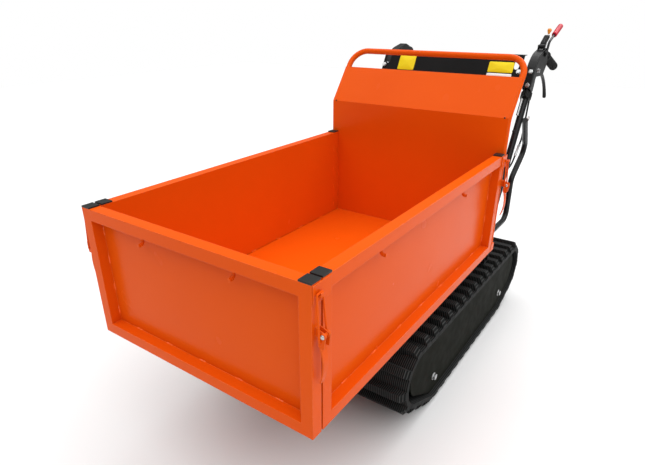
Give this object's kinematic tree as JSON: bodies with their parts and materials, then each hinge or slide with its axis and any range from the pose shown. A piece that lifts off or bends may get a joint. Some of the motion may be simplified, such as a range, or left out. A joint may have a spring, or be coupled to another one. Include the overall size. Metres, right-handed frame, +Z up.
{
  "type": "tracked power carrier",
  "caption": "Walk-behind crawler carrier: a tipping drop-sided load box with headboard on a petrol-driven chassis with rubber tracks, steered by levers on two handles.",
  "frame": {"origin": "ground point under the middle of the overall length and width", "axes": "+X to the operator's left, +Y to the rear where the handles are, +Z up; the load box leads towards -Y"},
  "size_m": [0.752, 1.7784, 1.1413],
  "materials": {
    "orange_paint": "gloss powder coat",
    "black_paint": "satin powder coat",
    "olive_paint": "satin paint",
    "track_rubber": "moulded",
    "grip_rubber": "ribbed",
    "black_plastic": "moulded",
    "red_plastic": "dipped sleeve",
    "orange_plastic": "ball knob",
    "zinc_steel": "zinc plated",
    "cast_steel": "as cast",
    "cast_alloy": "as cast",
    "black_steel": "heat-dark"
  },
  "bodies": {
    "chassis": {"chassis_frame": "black_paint", "track_frame_left": "olive_paint", "track_frame_right": "olive_paint", "side_plate_left": "olive_paint", "side_plate_right": "olive_paint", "rubber_track_left": "track_rubber", "rubber_track_right": "track_rubber", "track_tensioners": "zinc_steel", "hex_bolts": "zinc_steel", "gearbox": "cast_alloy", "engine_block": "cast_alloy", "recoil_cover": "black_plastic", "fuel_tank": "black_plastic", "air_filter": "black_plastic", "muffler": "black_steel", "drive_belt": "grip_rubber", "handle_frame": "black_paint", "handle_clamps": "black_plastic", "console_panel": "black_paint", "handle_housings": "black_plastic", "hand_grips": "grip_rubber", "control_cables": "grip_rubber"},
    "bed": {"bed_floor": "orange_paint", "headboard_sheet": "orange_paint", "headboard_hoop": "orange_paint", "hinge_pins": "zinc_steel"},
    "front_gate": {"front_panel": "orange_paint", "front_caps": "black_plastic"},
    "left_gate": {"left_panel": "orange_paint", "left_caps": "black_plastic"},
    "right_gate": {"right_panel": "orange_paint", "right_caps": "black_plastic"},
    "front_left_latch_lever": {"latch_lever_front_left": "orange_paint"},
    "front_left_latch_loop": {"latch_loop_front_left": "orange_paint"},
    "front_right_latch_lever": {"latch_lever_front_right": "orange_paint"},
    "front_right_latch_loop": {"latch_loop_front_right": "orange_paint"},
    "rear_left_latch_lever": {"latch_lever_rear_left": "orange_paint"},
    "rear_left_latch_loop": {"latch_loop_rear_left": "orange_paint"},
    "rear_right_latch_lever": {"latch_lever_rear_right": "orange_paint"},
    "rear_right_latch_loop": {"latch_loop_rear_right": "orange_paint"},
    "left_steering": {"steering_lever_left": "black_plastic"},
    "left_sprocket": {"sprocket_left": "cast_steel"},
    "left_idler": {"idler_left": "cast_steel"},
    "left_front_roller": {"front_roller_left": "cast_steel"},
    "left_rear_roller": {"rear_roller_left": "cast_steel"},
    "right_steering": {"steering_lever_right": "black_plastic"},
    "right_sprocket": {"sprocket_right": "cast_steel"},
    "right_idler": {"idler_right": "cast_steel"},
    "right_front_roller": {"front_roller_right": "cast_steel"},
    "right_rear_roller": {"rear_roller_right": "cast_steel"},
    "drive_control": {"drive_lever": "black_paint", "drive_lever_sleeve": "red_plastic"},
    "belt_tightener": {"tension_arm": "zinc_steel"},
    "throttle": {"throttle_lever": "black_plastic"},
    "gear_selector": {"gear_lever": "orange_plastic"},
    "crankshaft": {"crank_pulley": "cast_steel"},
    "gear_input": {"gearbox_pulley": "cast_steel"},
    "filler_cap": {"fuel_cap": "black_plastic"},
    "starter_pull": {"starter_grip": "grip_rubber"},
    "tip_hook": {"tip_latch": "orange_paint"}
  },
  "joints": [
    {"name": "bed_tip", "type": "hinge", "parent": "chassis", "child": "bed", "pos_m": [0, -0.63571, 0.3], "axis": [1, 0, 0], "range_deg": [0, 55]},
    {"name": "front_gate_drop", "type": "hinge", "parent": "bed", "child": "front_gate", "pos_m": [0, -0.86971, 0.3785], "axis": [1, 0, 0], "range_deg": [0, 110]},
    {"name": "left_gate_drop", "type": "hinge", "parent": "bed", "child": "left_gate", "pos_m": [0.334, -0.31571, 0.3785], "axis": [0, 1, 0], "range_deg": [0, 110]},
    {"name": "right_gate_drop", "type": "hinge", "parent": "bed", "child": "right_gate", "pos_m": [-0.334, -0.31571, 0.3785], "axis": [0, -1, 0], "range_deg": [0, 110]},
    {"name": "front_left_latch_open", "type": "hinge", "parent": "front_gate", "child": "front_left_latch_lever", "pos_m": [0.368, -0.86871, 0.64], "axis": [0, -1, 0], "range_deg": [0, 95]},
    {"name": "front_left_loop_swing", "type": "hinge", "parent": "front_left_latch_lever", "child": "front_left_latch_loop", "pos_m": [0.364, -0.86871, 0.626], "axis": [0, -1, 0], "range_deg": [-83.6, 0]},
    {"name": "front_right_latch_open", "type": "hinge", "parent": "front_gate", "child": "front_right_latch_lever", "pos_m": [-0.368, -0.86871, 0.64], "axis": [0, 1, 0], "range_deg": [0, 95]},
    {"name": "front_right_loop_swing", "type": "hinge", "parent": "front_right_latch_lever", "child": "front_right_latch_loop", "pos_m": [-0.364, -0.86871, 0.626], "axis": [0, 1, 0], "range_deg": [-83.6, 0]},
    {"name": "rear_left_latch_open", "type": "hinge", "parent": "bed", "child": "rear_left_latch_lever", "pos_m": [0.369, 0.23479, 0.64], "axis": [0, -1, 0], "range_deg": [0, 95]},
    {"name": "rear_left_loop_swing", "type": "hinge", "parent": "rear_left_latch_lever", "child": "rear_left_latch_loop", "pos_m": [0.365, 0.23479, 0.626], "axis": [0, -1, 0], "range_deg": [-83.6, 0]},
    {"name": "rear_right_latch_open", "type": "hinge", "parent": "bed", "child": "rear_right_latch_lever", "pos_m": [-0.369, 0.23479, 0.64], "axis": [0, 1, 0], "range_deg": [0, 95]},
    {"name": "rear_right_loop_swing", "type": "hinge", "parent": "rear_right_latch_lever", "child": "rear_right_latch_loop", "pos_m": [-0.365, 0.23479, 0.626], "axis": [0, 1, 0], "range_deg": [-83.6, 0]},
    {"name": "left_steering_squeeze", "type": "hinge", "parent": "chassis", "child": "left_steering", "pos_m": [0.3, 0.71427, 0.97179], "axis": [1, 0, 0], "range_deg": [0, 20]},
    {"name": "left_sprocket_spin", "type": "hinge", "parent": "chassis", "child": "left_sprocket", "pos_m": [0.265, 0.57229, 0.163], "axis": [1, 0, 0], "continuous": true},
    {"name": "left_idler_spin", "type": "hinge", "parent": "chassis", "child": "left_idler", "pos_m": [0.265, -0.34071, 0.187], "axis": [1, 0, 0], "continuous": true},
    {"name": "left_front_roller_spin", "type": "hinge", "parent": "chassis", "child": "left_front_roller", "pos_m": [0.265, -0.21371, 0.102], "axis": [1, 0, 0], "continuous": true},
    {"name": "left_rear_roller_spin", "type": "hinge", "parent": "chassis", "child": "left_rear_roller", "pos_m": [0.265, 0.45429, 0.102], "axis": [1, 0, 0], "continuous": true},
    {"name": "right_steering_squeeze", "type": "hinge", "parent": "chassis", "child": "right_steering", "pos_m": [-0.3, 0.71427, 0.97179], "axis": [1, 0, 0], "range_deg": [0, 20]},
    {"name": "right_sprocket_spin", "type": "hinge", "parent": "chassis", "child": "right_sprocket", "pos_m": [-0.265, 0.57229, 0.163], "axis": [1, 0, 0], "continuous": true},
    {"name": "right_idler_spin", "type": "hinge", "parent": "chassis", "child": "right_idler", "pos_m": [-0.265, -0.34071, 0.187], "axis": [1, 0, 0], "continuous": true},
    {"name": "right_front_roller_spin", "type": "hinge", "parent": "chassis", "child": "right_front_roller", "pos_m": [-0.265, -0.21371, 0.102], "axis": [1, 0, 0], "continuous": true},
    {"name": "right_rear_roller_spin", "type": "hinge", "parent": "chassis", "child": "right_rear_roller", "pos_m": [-0.265, 0.45429, 0.102], "axis": [1, 0, 0], "continuous": true},
    {"name": "drive_engage", "type": "hinge", "parent": "chassis", "child": "drive_control", "pos_m": [0.3195, 0.69827, 1.03779], "axis": [1, 0, 0], "range_deg": [0, 40]},
    {"name": "belt_tighten", "type": "hinge", "parent": "chassis", "child": "belt_tightener", "pos_m": [0.15, 0.34629, 0.275], "axis": [-1, 0, 0], "range_deg": [0, 20]},
    {"name": "throttle_set", "type": "hinge", "parent": "chassis", "child": "throttle", "pos_m": [0.3, 0.69227, 1.06279], "axis": [1, 0, 0], "range_deg": [0, 35]},
    {"name": "gear_shift", "type": "hinge", "parent": "chassis", "child": "gear_selector", "pos_m": [0.3, 0.73527, 1.02879], "axis": [1, 0, 0], "range_deg": [-14, 0]},
    {"name": "crank_spin", "type": "hinge", "parent": "chassis", "child": "crankshaft", "pos_m": [0.16, 0.44429, 0.416], "axis": [1, 0, 0], "continuous": true},
    {"name": "gear_input_spin", "type": "hinge", "parent": "chassis", "child": "gear_input", "pos_m": [0.16, 0.50629, 0.232], "axis": [1, 0, 0], "continuous": true},
    {"name": "filler_cap_turn", "type": "hinge", "parent": "chassis", "child": "filler_cap", "pos_m": [-0.04, 0.41429, 0.611], "axis": [0, 0, 1], "range_deg": [0, 120]},
    {"name": "starter_draw", "type": "slide", "parent": "chassis", "child": "starter_pull", "axis": [0, 0.7071, 0.7071], "range_m": [0, 0.05]},
    {"name": "tip_hook_release", "type": "hinge", "parent": "chassis", "child": "tip_hook", "pos_m": [0, 0.20429, 0.299], "axis": [-1, 0, 0], "range_deg": [0, 60]}
  ],
  "couplings": [
    {"joint": "front_left_loop_swing", "follows": "front_left_latch_open", "ratio": -0.88},
    {"joint": "front_right_loop_swing", "follows": "front_right_latch_open", "ratio": -0.88},
    {"joint": "rear_left_loop_swing", "follows": "rear_left_latch_open", "ratio": -0.88},
    {"joint": "rear_right_loop_swing", "follows": "rear_right_latch_open", "ratio": -0.88},
    {"joint": "left_idler_spin", "follows": "left_sprocket_spin", "ratio": 1},
    {"joint": "left_front_roller_spin", "follows": "left_sprocket_spin", "ratio": 1.3281},
    {"joint": "left_rear_roller_spin", "follows": "left_sprocket_spin", "ratio": 1.3281},
    {"joint": "right_idler_spin", "follows": "right_sprocket_spin", "ratio": 1},
    {"joint": "right_front_roller_spin", "follows": "right_sprocket_spin", "ratio": 1.3281},
    {"joint": "right_rear_roller_spin", "follows": "right_sprocket_spin", "ratio": 1.3281},
    {"joint": "belt_tighten", "follows": "drive_engage", "ratio": 0.5},
    {"joint": "gear_input_spin", "follows": "crank_spin", "ratio": 0.66412}
  ]
}
